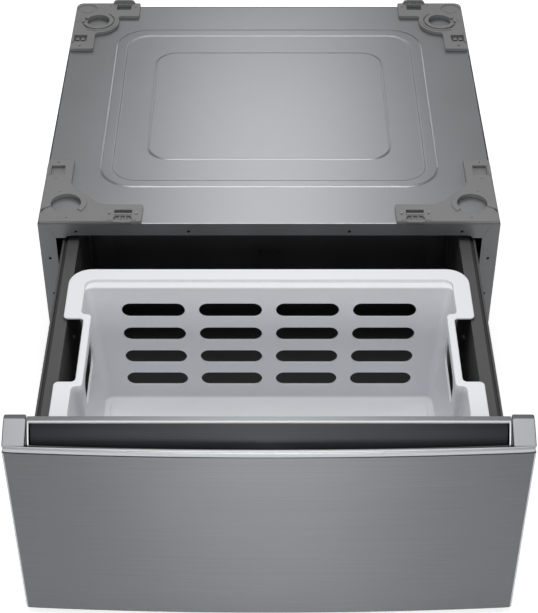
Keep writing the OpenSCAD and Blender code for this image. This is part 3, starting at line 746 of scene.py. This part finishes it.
def make_pocket():
    """The sloping finger pocket with its bright edge."""
    rear = FRONT - 10.2
    top = STRIP_TOP - 1.4
    half = 309.2
    run = 44
    slope = 1.13
    corner = 3.4
    depth = 44
    steps = 40
    verts = []
    rows = []
    for k in range(13):
        t = k / 12
        row = []
        y = rear - run * t
        z = top - run * t * slope
        width = half - 2.6 * t
        if run * t < corner:
            width += math.sqrt(max(0.0, corner ** 2 - (corner - run * t) ** 2)) - corner
        for i in range(steps + 1):
            x = -width + 2 * width * i / steps
            row.append(len(verts))
            verts.append((x, max(y, bow_y(x, 8.6)), z))
        rows.append(row)
    faces = [(a[i], a[i + 1], b[i + 1], b[i]) for a, b in zip(rows, rows[1:]) for i in range(steps)]
    face = new_object("pocket_face", (verts, faces))
    thicken(face, 1.2)
    shade(face, 40)
    finish_piece(face, MATERIALS["pocket_dark"], "drawer", "pocket_dark", "handle_pocket")
    # The dark walls: behind the lip, at both ends and just round the face.
    across = [-310 + 620 * i / 48 for i in range(49)]
    lip_back = LIP_TOP - 2.0
    wall = []
    for inset, z in ((8.2, lip_back), (8.2, top - depth), (9.6, top - depth), (9.6, lip_back)):
        wall.append([(x, bow_y(x, inset), z) for x in across])
    parts = [loft(wall + [wall[0]], False)]
    outline = [(rear + 1.2, top), (TIP + 8.4, lip_back), (TIP + 8.4, top - depth), (rear + 1.2, top - 20)]
    for side in (-1, 1):
        parts.append(prism(outline, side * 312.4, side * 313.4, "X"))
    parts.append(prism(rect(rear + 0.1, top - 4, rear + 1.3, STRIP_TOP - 1.2), -311.6, 311.6, "X"))
    wall_obj = new_object("pocket_walls", join(parts))
    shade(wall_obj, 30)
    finish_piece(wall_obj, MATERIALS["drawer_paint"], "drawer", "pocket_dark")
    # The bright edge: a bar along the back and a bar down each end.
    edge = []
    bar = fillet(rect(FRONT - 11.2, STRIP_TOP - 2.4, FRONT - 8.7, STRIP_TOP + 0.2), 0.4, 2)
    edge.append(prism(bar, -313.2, 313.2, "X"))
    ends = ((FRONT - 9.0, STRIP_TOP, 313.2), (TIP + 6.2, LIP_TOP + 0.8, 310.4))
    for side in (-1, 1):
        levels = []
        for y, z, x in ends:
            near = side * (x - 2.0)
            far = side * x
            levels.append([(far, y, z), (near, y, z), (near, y, z - 2.6), (far, y, z - 2.6)])
        edge.append(loft(levels, True, True, True))
    bezel = new_object("pocket_edge", join(edge))
    round_edges(bezel, 0.3, 2)
    shade(bezel, 35)
    finish_piece(bezel, MATERIALS["bezel_bright"], "drawer", "bezel_bright", "handle_bezel")


def make_end_caps():
    """The sloping cap at each end of the pull, with a painted shade on its rear and outer faces."""
    top = cap_high.z
    base = skin_high.z + 3.4
    profile = [(FRONT, base), (FRONT, top - 0.1), (FRONT - 10.3, top), (TIP + 5.0, LIP_TOP + 0.9)]
    profile += [(TIP + 3.0, LIP_TOP - 0.6), (TIP + 6.5, base)]
    for side, word in ((-1, "left"), (1, "right")):
        solid = prism(profile, side * (CAP_X + 0.2), side * (HALF_W + 0.6), "X")
        obj = new_object("end_cap_" + word + "_shell", solid)
        round_edges(obj, 2.4, 4, 20)
        apply_modifiers(obj)
        shade(obj, 30)
        finish_piece(obj, MATERIALS["trim_silver"], "drawer", "trim_silver", "end_cap_" + word)
        # The rear and outer faces get the darker silver as painted shade and reflection.
        second_finish(obj, MATERIALS["cap_shade_paint"],
                      lambda at, normal: normal.y > -0.12 or side * normal.x > 0.5)


# ---- carried-over CAD nodes ----

def dress_cad_nodes():
    """Gives each CAD node its slot's material and soft edges; the front top rail, the side panels and the
    slide brackets get darker copies instead, as painted shade.
    """
    slot_of = {}
    for entry in frame["record"]["subparts"]:
        slot_of[entry["node"]] = entry["material_slot"]
    for name, obj in frame["nodes"].items():
        material = MATERIALS[slot_of[name]]
        # The front top rail, the side panels and the slide brackets get darker copies of their finish as
        # painted shade.
        if name == "front_top_rail":
            material = MATERIALS["rail_painted_shade"]
        elif name.startswith("side_panel"):
            material = MATERIALS["side_painted_shade"]
        elif name.startswith("slide_bracket"):
            material = MATERIALS["bracket_painted_shade"]
        obj.data.materials.clear()
        obj.data.materials.append(material)
    for name in ("side_panel_left", "side_panel_right", "rear_panel", "base_pan", "front_top_rail",
                 "front_bottom_rail", "drawer_side_left", "drawer_side_right", "rear_catch"):
        round_edges(frame["nodes"][name], 0.35, 2, 40)


def make_groove_shade_strips():
    """A black strip laid in the groove of each drawer side's top edge, as painted shade for the groove."""
    low, high = box_mm("drawer_side_right")
    for side, word in ((-1, "left"), (1, "right")):
        outline = fillet(rect(high.x - 7.4, high.z - 4.4, high.x - 3.2, high.z - 2.0), 0.5, 2)
        mirrored = [(side * x, z) for x, z in outline]
        obj = new_object("groove_shade_strip_" + word, prism(mirrored, low.y + 1, high.y - 1, "Y"))
        shade(obj, 40)
        finish_piece(obj, MATERIALS["groove_painted_shade"], "drawer", "drawer_paint")


# ---- camera, light and floor ----

def make_camera():
    """The camera in front of and above the open drawer, looking down."""
    data = bpy.data.cameras.new("camera")
    data.lens = 90.54
    data.sensor_width = 36
    data.sensor_fit = "AUTO"
    data.shift_y = 0.0383
    camera = bpy.data.objects.new("camera", data)
    camera.location = (0, -2.1278, 1.7587)
    camera.rotation_euler = (math.radians(48.38), 0, 0)
    bpy.context.scene.collection.objects.link(camera)
    bpy.context.scene.camera = camera


def softbox(name, place, target, width, height, power):
    """A rectangular area light, in metres and watts, aimed at a point."""
    data = bpy.data.lights.new(name, "AREA")
    data.shape = "RECTANGLE"
    data.size = width
    data.size_y = height
    data.energy = power
    lamp = bpy.data.objects.new(name, data)
    lamp.location = place
    lamp.rotation_euler = (Vector(target) - Vector(place)).to_track_quat("-Z", "Y").to_euler()
    bpy.context.scene.collection.objects.link(lamp)


def make_studio():
    scene = bpy.context.scene
    scene.view_settings.view_transform = "Standard"
    world = bpy.data.worlds.new("studio")
    world.use_nodes = True
    sky = world.node_tree.nodes["Background"]
    sky.inputs["Color"].default_value = (1, 1, 1, 1)
    sky.inputs["Strength"].default_value = 0.22
    scene.world = world
    softbox("overhead", (0, -0.5, 2.6), (0, -0.5, 0), 1.2, 1.6, 35)
    softbox("behind", (0, 1.75, 2.15), (0, 0, 0.36), 0.6, 1.4, 7.3)
    softbox("front", (0, -2.7, 1.5), (0, -0.76, 0.2), 0.35, 1.0, 2)
    softbox("panel_glow", (0, -1.3, 0.5), (0, -0.76, 0.25), 0.4, 0.15, 1.7)
    softbox("back_left", (-1.5, 2.4, 1.4), (0, 0, 0.36), 0.5, 0.5, 3)
    softbox("back_right", (1.5, 2.4, 1.4), (0, 0, 0.36), 0.5, 0.5, 3)
    softbox("side_left", (-1.9, -0.5, 1.9), (0, -0.5, 0.3), 0.6, 0.6, 3)
    softbox("side_right", (1.9, -0.5, 1.9), (0, -0.5, 0.3), 0.6, 0.6, 3)
    reach = 9000
    corners = [(x, y, 0) for x, y in rect(-reach, -reach, reach, reach)]
    floor = new_object("studio_floor", (corners, [(0, 1, 2, 3)]))
    pale = surface("pale_floor", grey(0.84), grey(0.86), 0.8, grain=40, bump=0.0)
    shader = pale.node_tree.nodes["Principled BSDF"]
    shader.inputs["Emission Color"].default_value = (1, 1, 1, 1)
    shader.inputs["Emission Strength"].default_value = 0.6
    floor.data.materials.append(pale)


make_camera()
make_studio()
make_top_pan()
make_retainers()
make_basket()
make_front_skin()
make_pull_lip()
make_pocket()
make_end_caps()
make_groove_shade_strips()
dress_cad_nodes()
